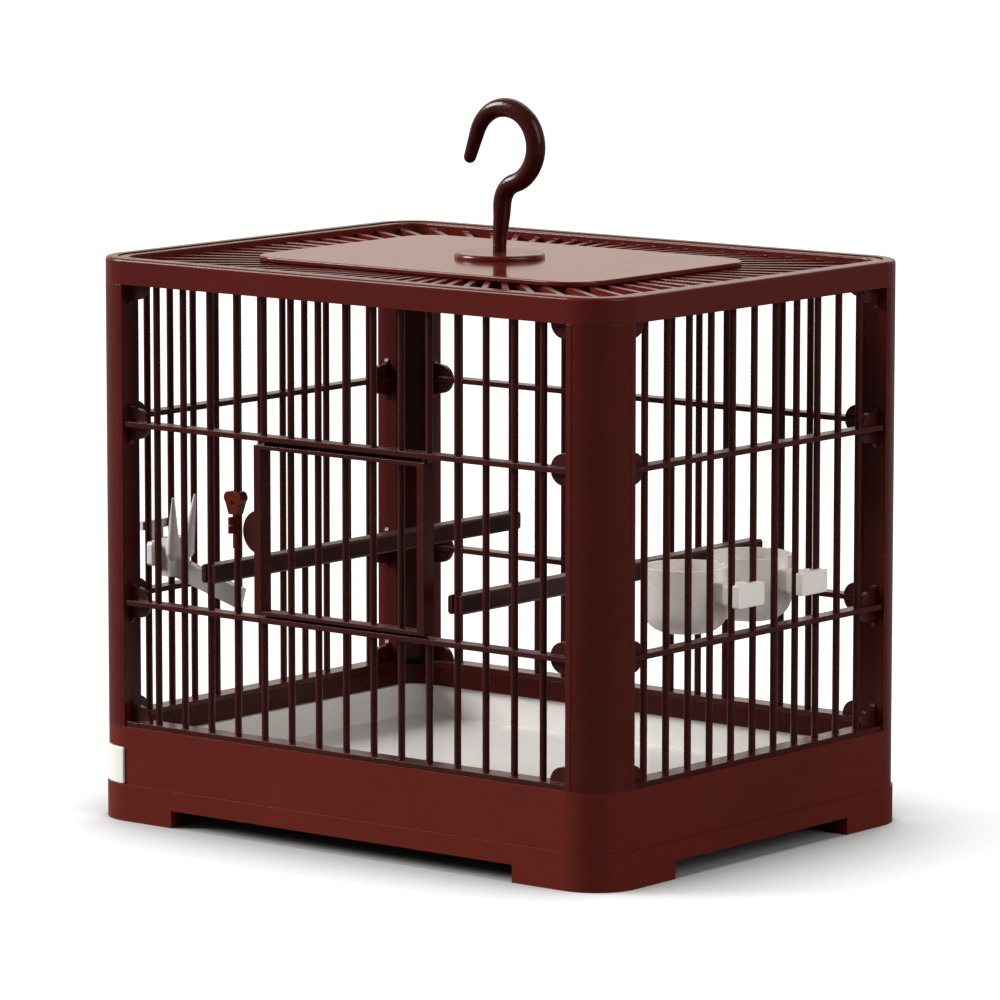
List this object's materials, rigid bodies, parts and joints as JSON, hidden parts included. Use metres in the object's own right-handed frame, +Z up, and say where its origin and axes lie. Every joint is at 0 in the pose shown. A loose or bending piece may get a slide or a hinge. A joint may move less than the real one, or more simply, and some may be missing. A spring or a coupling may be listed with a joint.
{
  "type": "bird travel carrier",
  "caption": "Moulded travel cage for a small bird: barred walls on a footed base, side-hung door, pull-out tray, perches, hanging cups, fruit fork and a swivel carrying hook.",
  "frame": {"origin": "on the ground, below the middle of the roof", "axes": "+Z up; +X to the right as seen from the front; the front, with the door, faces -Y"},
  "size_m": [0.377, 0.29, 0.4161],
  "materials": {
    "shell": "glossy moulded, dark red",
    "posts": "glossy moulded, dark red",
    "bars": "glossy moulded, dark red",
    "roof": "glossy moulded, dark red",
    "hook": "glossy moulded, dark red",
    "latch": "glossy moulded, dark red",
    "perches": "satin moulded, dark red",
    "cups": "glossy moulded, white",
    "tray": "glossy moulded, white",
    "nut": "plated"
  },
  "bodies": {
    "cage": {"base_pan": "shell", "base_frame": "shell", "front_left_post": "posts", "front_right_post": "posts", "back_left_post": "posts", "back_right_post": "posts", "front_wall": "bars", "back_wall": "bars", "left_wall": "bars", "right_wall": "bars", "roof_frame": "roof", "roof_grille": "roof", "roof_plate": "roof", "hook_boss": "roof", "latch_clip": "latch"},
    "tray": {"tray": "tray"},
    "door": {"door": "bars"},
    "latch_button": {"latch_button": "latch"},
    "hook": {"hook": "hook", "hook_nut": "nut"},
    "left_perch": {"left_perch": "perches"},
    "right_perch": {"right_perch": "perches"},
    "front_cup": {"front_cup": "cups"},
    "back_cup": {"back_cup": "cups"},
    "fruit_fork": {"fruit_fork": "cups"}
  },
  "joints": [
    {"name": "tray_slide", "type": "slide", "parent": "cage", "child": "tray", "axis": [-1, 0, 0], "range_m": [0, 0.3]},
    {"name": "door_swing", "type": "hinge", "parent": "cage", "child": "door", "pos_m": [0.0592, -0.1396, 0.1792], "axis": [0, 0, 1], "range_deg": [0, 110]},
    {"name": "latch_turn", "type": "hinge", "parent": "cage", "child": "latch_button", "pos_m": [-0.08, -0.137, 0.186], "axis": [0, 0, 1], "range_deg": [0, 55]},
    {"name": "hook_swivel", "type": "hinge", "parent": "cage", "child": "hook", "pos_m": [0, 0, 0.3245], "axis": [0, 0, 1], "continuous": true},
    {"name": "left_perch_lift", "type": "slide", "parent": "cage", "child": "left_perch", "axis": [0, 0, 1], "range_m": [-0.013, 0.072]},
    {"name": "right_perch_lift", "type": "slide", "parent": "cage", "child": "right_perch", "axis": [0, 0, 1], "range_m": [-0.013, 0.072]},
    {"name": "front_cup_twist", "type": "hinge", "parent": "cage", "child": "front_cup", "pos_m": [0.1805, -0.01, 0.149], "axis": [1, 0, 0], "range_deg": [0, 90]},
    {"name": "back_cup_twist", "type": "hinge", "parent": "cage", "child": "back_cup", "pos_m": [0.1805, 0.05, 0.149], "axis": [1, 0, 0], "range_deg": [0, 90]},
    {"name": "fork_twist", "type": "hinge", "parent": "cage", "child": "fruit_fork", "pos_m": [-0.1805, -0.09, 0.15], "axis": [-1, 0, 0], "range_deg": [0, 90]}
  ]
}
